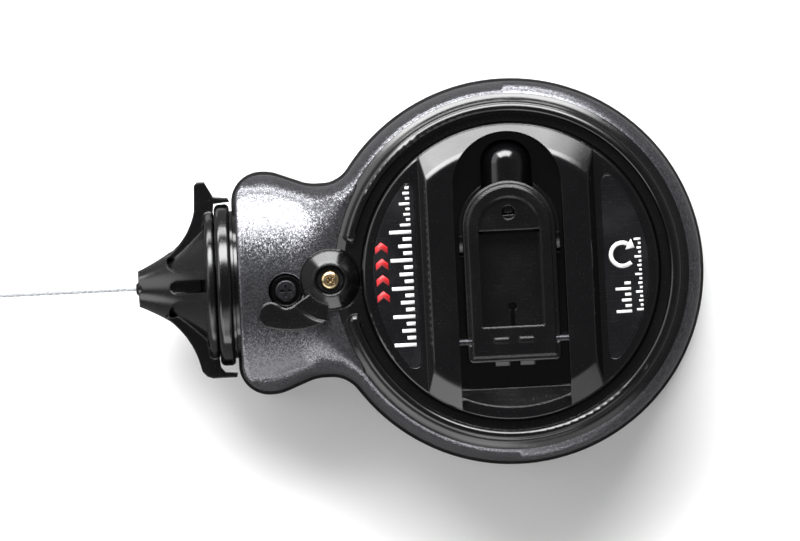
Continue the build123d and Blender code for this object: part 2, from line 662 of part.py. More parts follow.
def crank_knob():
    knob = rod_y(KNOB_R, KNOB_BASE_Y, KNOB_TIP_Y, z=KNOB_Z)
    knob = fillet(edges_at(knob, KNOB_TIP_Y, Axis.Y), KNOB_R - 0.6)
    knob = chamfer(edges_at(knob, KNOB_BASE_Y, Axis.Y), 0.5)
    head_y = KNOB_TIP_Y - 5.0
    knob -= rod_y(KNOB_AXLE_R + RUN_GAP, KNOB_BASE_Y - 1, head_y, z=KNOB_Z)
    return knob - rod_y(KNOB_AXLE_HEAD + RUN_GAP, head_y - RUN_GAP, head_y + 1.5, z=KNOB_Z)


# ---------------------------------------------------------------- brake lever
CAM_R = 5.0
CAM_SLEEVE_R = 6.1
CAM_THROW = 0.8
LEVER_TRAVEL = 65.0         # degrees, clockwise seen from the crank side
LEVER_WEB_R = 11.9          # the low web between hub and blade ends at this radius
CAM_Z = (35.9, 38.1)


def cam_centre():
    """At rest the cam's high side stands one lever travel away from the disc's rim."""
    turn = math.radians(LEVER_TRAVEL)
    return LEVER_X + CAM_THROW * math.cos(turn), CAM_THROW * math.sin(turn)


def lever_blade():
    """Plan of the blade around the pivot: a comma that starts at the hub."""
    start, end = (-10.0, -6.2), (-1.4, -11.7)
    upper = Spline(start, (-13.2, -7.3), (-17.3, -5.4), tangents=((-1, -0.7), (-1, 0.1)))
    tip = ThreePointArc((-17.3, -5.4), (-20.9, -8.9), (-17.7, -12.9))
    lower = ThreePointArc((-17.7, -12.9), (-11.0, -13.8), end)
    inner = Polyline(end, (-1.0, -7.0), (-6.6, -3.0), start)
    return make_face([upper, tip, lower, inner]) - Circle(LEVER_WEB_R)


HUB_TOP = 51.3
HUB_TOP_R = 4.9
BLADE_TOP = 50.0
WASHER_SEAT = 48.9
SQUARE_HALF = 1.9           # the lever sits on a square of the shaft
LEVER_SCREW_R = 1.25


def brake_lever():
    base = PAD_TOP + 0.1
    blade = prism(lever_blade(), base, BLADE_TOP)
    blade = fillet(edges_at(blade, BLADE_TOP), 0.45)
    skirt = Cone(LEVER_R + 0.2, HUB_TOP_R, HUB_TOP - base, align=(MID, MID, MIN))
    web = Circle(LEVER_WEB_R) & make_face(Polyline((0, 0), (-11.0, -6.8), (-14.0, -14.0), (-1.9, -14.0),
                                                   close=True))
    lever = blade + Pos(0, 0, base) * skirt + prism(web, base, BLADE_TOP - 0.8)
    lever = Pos(LEVER_X, 0, 0) * lever
    lever -= rod(HUB_TOP_R - 0.7, WASHER_SEAT, 60, LEVER_X)
    return lever - lever_square(40, 60)


def lever_square(low, high):
    """Square end of the lever's shaft."""
    return block((LEVER_X - SQUARE_HALF, LEVER_X + SQUARE_HALF), (-SQUARE_HALF, SQUARE_HALF), (low, high))


def lever_shaft():
    shaft = rod(SHAFT_R, BRACKET_Z[0], PAD_TOP, LEVER_X) + lever_square(PAD_TOP, WASHER_SEAT)
    return shaft - rod(LEVER_SCREW_R, 39.0, 50, LEVER_X)


def lever_washer():
    return tube(3.7, 1.5, WASHER_SEAT, WASHER_SEAT + 0.4, LEVER_X)


def lever_screw():
    return pan_screw(LEVER_X, 0, WASHER_SEAT + 0.4, 2.8, 1.9, LEVER_SCREW_R, 39.5)


def brake_cam():
    return rod(CAM_R, *CAM_Z, *cam_centre()) - rod(SHAFT_R, 30, 40, LEVER_X)


def cam_sleeve():
    return tube(CAM_SLEEVE_R, CAM_R, *CAM_Z, *cam_centre())


def cam_bracket():
    plan = make_hull((Pos(LEVER_X, 0) * Circle(3.7) + Pos(*NECK_SCREW) * Circle(4.0)).edges())
    bracket = prism(plan, *BRACKET_Z)
    return bracket - rod(SHAFT_R + RUN_GAP, 30, 40, LEVER_X) - rod(NECK_SCREW_R, 30, 40, *NECK_SCREW)


def neck_screw():
    return pan_screw(*NECK_SCREW, NECK_SCREW_SEAT, 3.1, 1.2, NECK_SCREW_R, BRACKET_Z[0] + 0.2)


# ---------------------------------------------------------------- neck, nozzle and line
def neck_collar():
    outline = [(COLLAR_X, MOUTH_R), (COLLAR_X, COLLAR_R), (COLLAR_BACK_X, COLLAR_R), (COLLAR_BACK_X, 21.0),
               (NECK_FRONT_X, 21.0), (NECK_FRONT_X, NECK_BORE_R), (NECK_FRONT_X + 7.0, NECK_BORE_R),
               (NECK_FRONT_X + 7.0, MOUTH_R)]
    face = make_face(Polyline(*outline, close=True))
    face = round_corner(face, COLLAR_X, COLLAR_R, 1.6)
    face = round_corner(face, COLLAR_BACK_X, COLLAR_R, 1.2)
    return Pos(0, 0, SPLIT_Z) * revolve(face, Axis.X)


TIP_R = 5.1
CONE_BASE_R = 18.4
CONE_MID = (-97.0, 9.9)     # the cone's outer slope is hollow and passes here
SEAL_X, SEAL_RING_R = -80.6, 16.72
GUIDE_R = 2.0
FELT_R = 6.9
WING_HALF_Z = 4.6
PLUG_R = 17.4
RECESS_DEPTH = 1.7
RIB_HALF = 4.1              # half width of the rib that carries the window, above and below
CAVITY = [(-99.0, 0), (-99.0, 2.2), (-94.5, 7.0), (-88.0, 7.4), (-87.0, 14.8), (-76, 14.8), (-76, 0)]


def cone_arc(inset=0.0):
    """Outer slope of the nozzle's cone, from the tip to the flange."""
    return ThreePointArc((TIP_X, TIP_R - inset), (CONE_MID[0], CONE_MID[1] - inset),
                         (NOZZLE_BASE_X, CONE_BASE_R - inset))


def nozzle_solid():
    """Cone, flange ring and plug as one turned solid."""
    ring_back = COLLAR_X - 0.1
    rest = Polyline((NOZZLE_BASE_X, CONE_BASE_R), (NOZZLE_BASE_X, NOZZLE_RING_R), (ring_back, NOZZLE_RING_R),
                    (ring_back, PLUG_R), (-77.0, PLUG_R), (-77.0, 0), (TIP_X, 0), (TIP_X, TIP_R))
    face = make_face([cone_arc(), rest])
    for x in (NOZZLE_BASE_X, ring_back):
        face = round_corner(face, x, NOZZLE_RING_R, 1.2)
    return Pos(0, 0, SPLIT_Z) * revolve(face, Axis.X)


def recesses():
    """Hollows with a round front end, on both sides of the ribs above and below."""
    base = Polyline((NOZZLE_BASE_X, CONE_BASE_R - RECESS_DEPTH), (NOZZLE_BASE_X, 0), (TIP_X, 0),
                    (TIP_X, TIP_R - RECESS_DEPTH))
    floor = Pos(0, 0, SPLIT_Z) * revolve(make_face([cone_arc(RECESS_DEPTH), base]), Axis.X)
    end_x, end_r = -94.0, 3.6
    plan = Pos(end_x, RIB_HALF + end_r) * Circle(end_r)
    plan += Pos(end_x + 10, RIB_HALF + 10) * Rectangle(20, 20)
    plan = plan & Pos(NOZZLE_BASE_X - 20.4, 0) * Rectangle(40, 60)
    quarter = prism(plan, SPLIT_Z, SPLIT_Z + 30) - floor
    upper = quarter + mirror(quarter, Plane.XZ)
    return upper + mirror(upper, Plane.XY.offset(SPLIT_Z))


def wing(side):
    """Finger wing in the plane of the line: +1 carries the thumb ear, -1 the plain arm."""
    if side > 0:
        edge = ThreePointArc((-98.3, 8.4), (-92.3, 14.2), (-89.2, 21.5))
        outer = Polyline((-89.2, 21.5), (-88.9, 28.6), (-88.0, 29.6), (-86.0, 29.6), (-83.6, 25.2),
                         (-79.6, 24.8), (-79.0, 23.6), (-83.6, 23.2), (-84.2, 18.0), (-87.0, 8.0),
                         (-98.3, 8.4))
    else:
        edge = ThreePointArc((-98.9, 8.4), (-91.9, 16.2), (-89.4, 22.4))
        outer = Polyline((-89.4, 22.4), (-88.9, 24.4), (-87.6, 25.8), (-86.0, 26.4), (-79.2, 26.4),
                         (-78.9, 25.1), (-82.4, 24.8), (-83.6, 23.4), (-84.2, 18.0), (-87.0, 8.0),
                         (-98.9, 8.4))
    plate = Pos(0, 0, SPLIT_Z) * extrude(make_face([edge, outer]), WING_HALF_Z, both=True)
    return plate if side > 0 else mirror(plate, Plane.XZ)


def windows():
    """Window through the cone's wall in each rib, with a round front end."""
    front_x, half = -95.0, 1.8
    window = block((front_x, NOZZLE_BASE_X), (-half, half), (SPLIT_Z + 8.5, SPLIT_Z + 24))
    window += rod(half, SPLIT_Z + 8.5, SPLIT_Z + 24, front_x)
    return window + mirror(window, Plane.XY.offset(SPLIT_Z))


def nozzle():
    body = nozzle_solid() - recesses() + wing(1) + wing(-1)
    ring_inside = rod_x(COLLAR_R + 0.3, COLLAR_X - 0.05, -60, z=SPLIT_Z)
    body -= ring_inside - rod_x(PLUG_R, -90, -60, z=SPLIT_Z)
    body -= windows() + turned_x(CAVITY) + rod_x(GUIDE_R, TIP_X - 1, -98, z=SPLIT_Z)
    for angle in range(30, 390, 60):
        notch = Pos(0, 0, SPLIT_Z) * Rot(angle, 0, 0) * Pos(TIP_X, TIP_R - 0.7, 0)
        body -= notch * Rot(90, 0, 0) * Cylinder(1.0, 4.4)
    return body - seal_ring(0.9)


def seal_ring(radius):
    return Pos(SEAL_X, 0, SPLIT_Z) * Rot(0, 90, 0) * Torus(SEAL_RING_R, radius)


def nozzle_seal():
    return seal_ring(0.8)


def line_guide():
    inner, back = LINE_R + 0.2, CAVITY[0][0]
    return turned_x([(TIP_X - 0.7, inner), (TIP_X - 0.7, 1.3), (TIP_X, GUIDE_R), (back, GUIDE_R),
                     (back, inner)])


def felt_wiper():
    front, back, inner = -93.4, NOZZLE_BASE_X + 0.3, LINE_R + RUN_GAP
    return turned_x([(front, inner), (front, FELT_R), (back, FELT_R), (back, inner)])


LINE_TAIL_X = -76.0         # inner end of the straight run of line that moves with the hook


def line_out():
    return rod_x(LINE_R, HOOK_X - CRIMP_GRIP, LINE_TAIL_X, z=SPLIT_Z)


def line_run():
    """Line from the wound pack to the start of the straight run."""
    reach = -LINE_TAIL_X - 0.6
    lead_r = LINE_PACK_R + LINE_R + 0.2
    turn = math.acos(lead_r / reach)
    start = Vector(-lead_r * math.cos(turn), lead_r * math.sin(turn), (WIND_Z[0] + WIND_Z[1]) / 2)
    end = Vector(-reach, 0, SPLIT_Z)
    path = Line(start, end)
    return sweep(Plane(origin=start, z_dir=path % 0) * Circle(LINE_R), path=path)


CRIMP_R, CRIMP_LENGTH = 1.5, 6.0
CRIMP_GRIP = 1.5            # length of line inside the crimp
HOOK_DROP = 9.0


def hook_crimp():
    crimp = rod_x(CRIMP_R, HOOK_X - CRIMP_LENGTH, HOOK_X, z=SPLIT_Z)
    return crimp - rod_x(LINE_R, HOOK_X - CRIMP_GRIP, HOOK_X + 1, z=SPLIT_Z)


def line_hook():
    end, half, sheet = HOOK_X - HOOK_LENGTH, 5.5, 0.6
    plan = make_hull((Pos(HOOK_X - 7.5, 0) * Circle(2.4) + Pos(end + half, 0) * Circle(half)).edges())
    plan += Pos(end + half / 2, 0) * Rectangle(half, 2 * half)
    hook = prism(plan, SPLIT_Z - sheet, SPLIT_Z + sheet)
    hook += block((end, end + 2 * sheet), (-half, half), (SPLIT_Z - HOOK_DROP, SPLIT_Z + sheet))
    hook -= rod(NAIL_HOLE_R, 0, 40, end + 7.5)
    return hook - rod_x(CRIMP_R, HOOK_X - CRIMP_LENGTH, HOOK_X, z=SPLIT_Z)


# ---------------------------------------------------------------- hand over
PARTS = {
    "front_shell": front_shell, "back_shell": back_shell, "case_screws": case_screws,
    "side_cover": side_cover, "gear_plate": gear_plate, "ring_gear": ring_gear,
    "ring_gear_screws": ring_gear_screws, "sun_gear": sun_gear,
    "planet_gear_1": lambda: planet_gear(0), "planet_gear_2": lambda: planet_gear(1),
    "planet_gear_3": lambda: planet_gear(2), "planet_carrier": planet_carrier,
    "planet_pins": planet_pins, "carrier_screws": carrier_screws, "spool_axle": spool_axle,
    "thrust_washer": thrust_washer, "spool_drum": spool_drum, "spool_back_flange": spool_back_flange,
    "line_wound": line_wound, "axle_seal": axle_seal, "crank_disc": crank_disc,
    "label_panel_left": lambda: label_panel(-1), "label_panel_right": lambda: label_panel(1),
    "arm_hinge_pin": arm_hinge_pin, "crank_arm": crank_arm, "knob_bracket": knob_bracket,
    "knob_hinge_pins": knob_hinge_pin, "knob_axle": knob_axle, "crank_knob": crank_knob,
    "brake_lever": brake_lever, "lever_shaft": lever_shaft, "lever_washer": lever_washer,
    "lever_screw": lever_screw, "brake_cam": brake_cam, "cam_sleeve": cam_sleeve,
    "cam_bracket": cam_bracket, "neck_screw": neck_screw, "neck_collar": neck_collar,
    "nozzle": nozzle, "nozzle_seal": nozzle_seal, "line_guide": line_guide, "felt_wiper": felt_wiper,
    "line_out": line_out, "line_run": line_run, "hook_crimp": hook_crimp, "line_hook": line_hook,
}

os.makedirs("parts", exist_ok=True)
for name, build in PARTS.items():
    export_step(build(), "parts/" + name + ".step")
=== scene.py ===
"""Looks of the chalk line reel, built around its CAD frame. Metres; +Z comes out of the crank face."""
import json
import math

import bmesh
import bpy
from mathutils import Matrix, Vector


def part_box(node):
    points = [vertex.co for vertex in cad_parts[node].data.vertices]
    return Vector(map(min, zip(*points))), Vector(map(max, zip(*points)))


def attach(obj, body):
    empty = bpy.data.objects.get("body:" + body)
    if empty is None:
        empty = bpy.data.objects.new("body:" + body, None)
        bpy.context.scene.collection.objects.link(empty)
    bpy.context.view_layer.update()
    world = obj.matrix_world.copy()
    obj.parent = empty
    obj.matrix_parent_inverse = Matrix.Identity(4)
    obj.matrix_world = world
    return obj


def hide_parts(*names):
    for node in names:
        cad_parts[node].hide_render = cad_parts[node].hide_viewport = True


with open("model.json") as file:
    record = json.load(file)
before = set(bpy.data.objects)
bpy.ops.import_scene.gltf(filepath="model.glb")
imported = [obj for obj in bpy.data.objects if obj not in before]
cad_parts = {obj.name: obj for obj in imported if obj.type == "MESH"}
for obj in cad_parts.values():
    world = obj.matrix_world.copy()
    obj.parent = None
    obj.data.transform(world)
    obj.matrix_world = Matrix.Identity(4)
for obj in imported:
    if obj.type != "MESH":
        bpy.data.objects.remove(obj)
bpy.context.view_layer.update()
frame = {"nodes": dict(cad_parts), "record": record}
MM = 0.001


# ---------------------------------------------------------------- shader helpers
def add(tree, kind, inputs=None, **settings):
    """New node: settings are its own properties, inputs are values or sockets to link."""
    node = tree.nodes.new(kind)
    for key, value in settings.items():
        setattr(node, key, value)
    for key, value in (inputs or {}).items():
        if isinstance(value, bpy.types.NodeSocket):
            tree.links.new(value, node.inputs[key])
        else:
            node.inputs[key].default_value = value
    return node


def new_material(name):
    """Empty node material with its principled shader."""
    material = bpy.data.materials.new(name)
    material.use_nodes = True
    tree = material.node_tree
    tree.nodes.clear()
    shader = add(tree, "ShaderNodeBsdfPrincipled")
    output = add(tree, "ShaderNodeOutputMaterial")
    tree.links.new(shader.outputs["BSDF"], output.inputs["Surface"])
    return material, tree, shader


def object_point(tree):
    return add(tree, "ShaderNodeTexCoord").outputs["Object"]


def noise(tree, size, detail=2.0, stretch=None):
    """Noise whose features are about size metres across; stretch squeezes it along the axes."""
    point = object_point(tree)
    if stretch:
        point = add(tree, "ShaderNodeMapping", {"Vector": point, "Scale": stretch}).outputs["Vector"]
    inputs = {"Vector": point, "Scale": 1.0 / size, "Detail": detail}
    return add(tree, "ShaderNodeTexNoise", inputs).outputs["Fac"]


def remap(tree, value, low, high, start=0.3, end=0.7):
    """Spread a 0..1 texture value over low..high."""
    inputs = {"Value": value, "From Min": start, "From Max": end, "To Min": low, "To Max": high}
    return add(tree, "ShaderNodeMapRange", inputs).outputs["Result"]


def mix_color(tree, factor, first, second):
    node = add(tree, "ShaderNodeMix", data_type="RGBA")
    for index, value in ((0, factor), (6, first), (7, second)):
        if isinstance(value, bpy.types.NodeSocket):
            tree.links.new(value, node.inputs[index])
        else:
            node.inputs[index].default_value = value
    return node.outputs[2]


def math_node(tree, operation, first, second):
    node = add(tree, "ShaderNodeMath", operation=operation)
    for index, value in enumerate((first, second)):
        if isinstance(value, bpy.types.NodeSocket):
            tree.links.new(value, node.inputs[index])
        else:
            node.inputs[index].default_value = value
    return node.outputs[0]


def soft_edges(tree, radius):
    """Normal that rounds every sharp edge by a small radius, as moulding and plating do."""
    return add(tree, "ShaderNodeBevel", {"Radius": radius}, samples=4).outputs["Normal"]


def bump(tree, height, depth, strength=1.0, under=None):
    """Bump whose full height is depth metres; under is the normal to add it to."""
    inputs = {"Height": height, "Distance": depth, "Strength": strength}
    if under:
        inputs["Normal"] = under
    return add(tree, "ShaderNodeBump", inputs).outputs["Normal"]


def scratches(tree, length, width, amount, turn):
    """Mask of fine straight scratches that run one way: 1 on a scratch."""
    stretch = (1.0 / length, 1.0 / width, 1.0 / width)
    inputs = {"Vector": object_point(tree), "Rotation": (0.0, 0.0, turn), "Scale": stretch}
    point = add(tree, "ShaderNodeMapping", inputs).outputs["Vector"]
    field = add(tree, "ShaderNodeTexNoise", {"Vector": point, "Scale": 1.0, "Detail": 1.0}).outputs["Fac"]
    return remap(tree, field, 0.0, 1.0, 1.0 - amount, 1.0 - amount + 0.04)


# ---------------------------------------------------------------- materials
NECK_SCREW = sum(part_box("neck_screw"), Vector()) / 2
NECK_SCREW_SHADE_R = 5.0 * MM   # painted shade: near black within this reach of the neck screw, standing in for the shade inside its counterbore


def gloss_plastic(name, color=(0.0022, 0.0022, 0.0026, 1.0), rough=0.12, edge=0.35 * MM):
    """Polished black moulding: slight waviness, soft edges, handling haze and hairline scratches."""
    material, tree, shader = new_material(name)
    haze = remap(tree, noise(tree, 14 * MM, 3.0), rough * 0.7, rough * 1.7)
    marks = math_node(tree, "MAXIMUM", scratches(tree, 9 * MM, 0.10 * MM, 0.30, 0.5),
                      scratches(tree, 7 * MM, 0.08 * MM, 0.29, -1.1))
    dust = remap(tree, noise(tree, 0.35 * MM, 1.0), 0.0, 1.0, 0.70, 0.74)
    flaws = math_node(tree, "MAXIMUM", math_node(tree, "MULTIPLY", marks, 0.5), dust)
    tree.links.new(math_node(tree, "ADD", haze, math_node(tree, "MULTIPLY", flaws, 0.16)),
                   shader.inputs["Roughness"])
    pale = [min(1.0, c * 5.0 + 0.01) for c in color[:3]] + [1.0]
    tree.links.new(mix_color(tree, math_node(tree, "MULTIPLY", flaws, 0.35), color, pale),
                   shader.inputs["Base Color"])
    wave = bump(tree, noise(tree, 9 * MM, 1.0), 0.04 * MM, 0.5, soft_edges(tree, edge))
    fine = bump(tree, marks, -0.004 * MM, 0.6, wave)
    tree.links.new(fine, shader.inputs["Normal"])
    shader.inputs["IOR"].default_value = 1.58
    return material


def satin_plastic(name, color=(0.004, 0.004, 0.0044, 1.0), rough=0.42, grain=0.30 * MM, depth=0.02 * MM):
    """Spark-eroded moulding with a fine even grain."""
    material, tree, shader = new_material(name)
    tone = remap(tree, noise(tree, 11 * MM, 3.0), 0.0, 1.0)
    worn = [min(1.0, c * 1.7) for c in color[:3]] + [1.0]
    tree.links.new(mix_color(tree, tone, color, worn), shader.inputs["Base Color"])
    haze = remap(tree, noise(tree, 6 * MM, 3.0), rough * 0.85, rough * 1.2)
    tree.links.new(haze, shader.inputs["Roughness"])
    relief = bump(tree, noise(tree, grain, 2.0), depth, 0.8, soft_edges(tree, 0.3 * MM))
    tree.links.new(relief, shader.inputs["Normal"])
    shader.inputs["IOR"].default_value = 1.5
    return material


def metallic_paint(name):
    """Dark grey metallic paint: flakes that tilt each its own way, under a soft clear coat, with painted
    shade in the neck screw's counterbore.
    """
    material, tree, shader = new_material(name)
    flakes = add(tree, "ShaderNodeTexVoronoi", {"Vector": object_point(tree), "Scale": 1.0 / (0.30 * MM)})
    shade = add(tree, "ShaderNodeSeparateColor", {"Color": flakes.outputs["Color"]}).outputs["Red"]
    cloud = remap(tree, noise(tree, 5.0 * MM, 2.0), 0.0, 1.0)
    base = mix_color(tree, shade, (0.045, 0.045, 0.050, 1.0), (0.160, 0.160, 0.175, 1.0))
    # painted shade: the base colour turns near black around the neck screw, where its deep counterbore lies
    # in shade
    away = add(tree, "ShaderNodeVectorMath", {0: object_point(tree), 1: (NECK_SCREW.x, NECK_SCREW.y, 0.0)},
               operation="SUBTRACT").outputs[0]
    flat = add(tree, "ShaderNodeVectorMath", {0: away, 1: (1.0, 1.0, 0.0)}, operation="MULTIPLY").outputs[0]
    reach = add(tree, "ShaderNodeVectorMath", {0: flat}, operation="LENGTH").outputs["Value"]
    hole_shade = math_node(tree, "LESS_THAN", reach, NECK_SCREW_SHADE_R)
    tree.links.new(mix_color(tree, hole_shade, base, (0.006, 0.006, 0.006, 1.0)), shader.inputs["Base Color"])
    shader.inputs["Metallic"].default_value = 0.85
    tree.links.new(remap(tree, cloud, 0.25, 0.27, 0.0, 1.0), shader.inputs["Roughness"])
    tilt = add(tree, "ShaderNodeVectorMath", {0: flakes.outputs["Color"], 1: (0.5, 0.5, 0.5)},
               operation="SUBTRACT")
    lean = add(tree, "ShaderNodeVectorMath", {0: tilt.outputs[0], "Scale": 0.20}, operation="SCALE")
    leaning = add(tree, "ShaderNodeVectorMath", {0: soft_edges(tree, 0.3 * MM), 1: lean.outputs[0]},
                  operation="ADD")
    normal = add(tree, "ShaderNodeVectorMath", {0: leaning.outputs[0]}, operation="NORMALIZE")
    tree.links.new(normal.outputs[0], shader.inputs["Normal"])
    shader.inputs["Coat Weight"].default_value = 0.3
    shader.inputs["Coat Roughness"].default_value = 0.2
    return material


BRUSHING = (40.0, 1.0, 1.0)  # tool marks are this much finer across their run


def brushed_metal(name, color, rough):
    """Plated or machined metal with fine tool marks and a little tarnish."""
    material, tree, shader = new_material(name)
    marks = noise(tree, 2.5 * MM, 3.0, BRUSHING)
    stain = remap(tree, noise(tree, 1.6 * MM, 3.0), 0.0, 1.0, 0.45, 0.75)
    dull = [c * 0.55 for c in color[:3]] + [1.0]
    tree.links.new(mix_color(tree, stain, color, dull), shader.inputs["Base Color"])
    tree.links.new(remap(tree, marks, rough * 0.7, rough * 1.5), shader.inputs["Roughness"])
    tree.links.new(bump(tree, marks, 0.006 * MM, 0.6, soft_edges(tree, 0.15 * MM)), shader.inputs["Normal"])
    shader.inputs["Metallic"].default_value = 1.0
    return material


def soft_material(name, dark, pale, fibre, depth, sheen):
    """Rubber, felt or thread: a fibrous tone with matching relief."""
    material, tree, shader = new_material(name)
    fibres = noise(tree, fibre, 4.0)
    tree.links.new(mix_color(tree, remap(tree, fibres, 0.0, 1.0), dark, pale), shader.inputs["Base Color"])
    tree.links.new(bump(tree, fibres, depth, 0.9), shader.inputs["Normal"])
    shader.inputs["Roughness"].default_value = 0.8
    shader.inputs["Sheen Weight"].default_value = sheen
    return material


def ink(name, color):
    """Printed ink: slightly raised, with a faint screen grain and worn pinholes."""
    material, tree, shader = new_material(name)
    holes = remap(tree, noise(tree, 0.25 * MM, 2.0), 0.0, 1.0, 0.66, 0.72)
    worn = [c * 0.35 for c in color[:3]] + [1.0]
    tree.links.new(mix_color(tree, math_node(tree, "MULTIPLY", holes, 0.7), color, worn),
                   shader.inputs["Base Color"])
    tree.links.new(bump(tree, noise(tree, 0.15 * MM, 2.0), 0.004 * MM, 0.5), shader.inputs["Normal"])
    shader.inputs["Roughness"].default_value = 0.42
    return material


GLOSS = gloss_plastic("gloss_black_plastic")
GLOSS_SOFT = gloss_plastic("gloss_black_soft_edged", rough=0.15, edge=0.8 * MM)
SATIN = satin_plastic("satin_black_plastic")
SPOOL = satin_plastic("spool_plastic", (0.05, 0.05, 0.055, 1.0), 0.4)
GEAR = satin_plastic("gear_plastic", (0.62, 0.60, 0.53, 1.0), 0.38, 0.5 * MM, 0.008 * MM)
LABEL = gloss_plastic("label_film", (0.0036, 0.0036, 0.0046, 1.0), 0.2)
METALLIC = metallic_paint("metallic_grey_paint")
STEEL = brushed_metal("zinc_steel", (0.62, 0.62, 0.64, 1.0), 0.24)
DARK_STEEL = brushed_metal("black_oxide_steel", (0.05, 0.05, 0.055, 1.0), 0.35)
BRASS = brushed_metal("brass", (0.60, 0.46, 0.27, 1.0), 0.22)
RUBBER = soft_material("rubber", (0.012, 0.012, 0.012, 1.0), (0.03, 0.03, 0.03, 1.0),
                       0.2 * MM, 0.02 * MM, 0.05)
FELT = soft_material("felt", (0.30, 0.30, 0.28, 1.0), (0.62, 0.61, 0.57, 1.0),
                     0.18 * MM, 0.15 * MM, 0.4)
THREAD = soft_material("line_thread", (0.16, 0.17, 0.19, 1.0), (0.50, 0.51, 0.53, 1.0),
                       0.5 * MM, 0.05 * MM, 0.1)
WHITE_INK = ink("white_ink", (0.80, 0.80, 0.80, 1.0))
RED_INK = ink("red_ink", (0.62, 0.02, 0.025, 1.0))

FINISH = {
    "metallic_shell": METALLIC, "black_gloss": GLOSS, "black_satin": SATIN, "gear_plastic": GEAR,
    "spool_plastic": SPOOL, "label": LABEL, "steel": STEEL, "dark_steel": DARK_STEEL, "brass": BRASS,
    "rubber": RUBBER, "felt": FELT, "line": THREAD,
}
SPECIAL = {                  # nodes whose finish is not simply their slot's
    "nozzle": GLOSS_SOFT, "brake_lever": GLOSS_SOFT, "crank_arm": GLOSS_SOFT, "arm_hinge_pin": DARK_STEEL,
    "lever_washer": DARK_STEEL,
}


def paint(piece, material):
    piece.data.materials.clear()
    piece.data.materials.append(material)


def finish_cad_nodes():
    """Every carried-over CAD node takes its special material or that of its slot in the record."""
    for row in frame["record"]["subparts"]:
        paint(frame["nodes"][row["node"]], SPECIAL.get(row["node"], FINISH[row["material_slot"]]))


finish_cad_nodes()


# ---------------------------------------------------------------- places taken from the frame
SPLIT_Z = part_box("back_shell")[1].z
SHELL_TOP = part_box("front_shell")[1].z
BEAD_FOOT_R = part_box("side_cover")[1].x
LABEL_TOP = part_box("label_panel_left")[1].z
LEVER_AXIS = sum(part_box("lever_washer"), Vector()) / 2


def mesh_piece(name, build, body, material, replaced=()):
    """New piece: build fills a bmesh, the piece rides on a body, and the nodes it replaces are hidden."""
    mesh = bpy.data.meshes.new(name)
    work = bmesh.new()
    build(work)
    bmesh.ops.recalc_face_normals(work, faces=work.faces)
    work.to_mesh(mesh)
    work.free()
    piece = bpy.data.objects.new(name, mesh)
    bpy.context.scene.collection.objects.link(piece)
    mesh.shade_smooth()
    paint(piece, material)
    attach(piece, body)
    if replaced:
        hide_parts(*replaced)
    return piece


def apply_modifiers(piece):
    """Bake a piece's modifiers into its mesh."""
    bpy.context.view_layer.objects.active = piece
    for modifier in list(piece.modifiers):
        bpy.ops.object.modifier_apply(modifier=modifier.name)


def bridge_rings(work, rings, cap=True):
    """Quads between successive closed rings of vertices, with the two end rings capped."""
    count = len(rings[0])
    for first, second in zip(rings, rings[1:]):
        for i in range(count):
            k = (i + 1) % count
            work.faces.new((first[i], first[k], second[k], second[i]))
    if cap:
        work.faces.new(rings[0])
        work.faces.new(reversed(rings[-1]))


def slab(work, outline, low, high):
    """Flat plate: an outline of (x, y) points between two heights."""
    bottom = [work.verts.new((x, y, low)) for x, y in outline]
    top = [work.verts.new((x, y, high)) for x, y in outline]
    bridge_rings(work, [bottom, top])


# ---------------------------------------------------------------- front shell skin
CROWN_R = 50.0 * MM          # radius of the neck's crown across its width
CROWN_BLEND = 13.0 * MM      # the crown fades out over this distance towards the reel


def smooth_step(value):
    value = min(1.0, max(0.0, value))
    return value * value * (3.0 - 2.0 * value)


def crown_drop(x, y):
    """How far the crowned neck lies below the frame's flat face."""
    across = min(abs(y), 0.8 * CROWN_R)
    away = smooth_step((math.hypot(x, y) - BEAD_FOOT_R) / CROWN_BLEND)
    return (CROWN_R - math.sqrt(CROWN_R ** 2 - across ** 2)) * (away if x < 0 else 0.0)


def make_shell_skin():
    """The front shell with the gentle crown of its neck, remeshed so that the bend is smooth."""
    source = frame["nodes"]["front_shell"]
    skin = bpy.data.objects.new("shell_skin", source.data.copy())
    bpy.context.scene.collection.objects.link(skin)
    remesh = skin.modifiers.new("even", "REMESH")
    remesh.mode = "VOXEL"
    remesh.voxel_size = 0.55 * MM
    remesh.use_smooth_shade = True
    apply_modifiers(skin)
    for vertex in skin.data.vertices:
        point = vertex.co
        lift = smooth_step((point.z - SPLIT_Z) / (0.8 * (SHELL_TOP - SPLIT_Z)))
        point.z -= crown_drop(point.x, point.y) * lift
    skin.data.shade_smooth()
    paint(skin, METALLIC)
    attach(skin, "housing")
    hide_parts("front_shell")


# ---------------------------------------------------------------- line
LINE_LAY = 5.6 * MM          # length of one turn of the twisted strands
STRANDS = 3


def twisted_line(work, start, end, radius):
    """Three strands laid around the straight line from start to end, inside the given radius."""
    way = (end - start).normalized()
    side = way.cross(Vector((0.0, 0.0, 1.0))).normalized()
    rise = side.cross(way)
    steps = int((end - start).length / (0.35 * MM))
    strand_r = radius * 0.52
    for strand in range(STRANDS):
        rings = []
        for i in range(steps + 1):
            centre = start.lerp(end, i / steps)
            turn = math.tau * (strand / STRANDS + (centre - start).length / LINE_LAY)
            centre = centre + (side * math.cos(turn) + rise * math.sin(turn)) * (radius - strand_r)
            ring = []
            for k in range(8):
                a = math.tau * k / 8
                ring.append(work.verts.new(centre + (side * math.cos(a) + rise * math.sin(a)) * strand_r))
            rings.append(ring)
        bridge_rings(work, rings)


def make_line():
    low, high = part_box("line_out")
    radius = (high.z - low.z) / 2
    tip, tail = Vector((low.x, 0.0, SPLIT_Z)), Vector((high.x, 0.0, SPLIT_Z))
    mesh_piece("line_strand", lambda w: twisted_line(w, tip, tail, radius), "line_end", THREAD,
               ("line_out",))


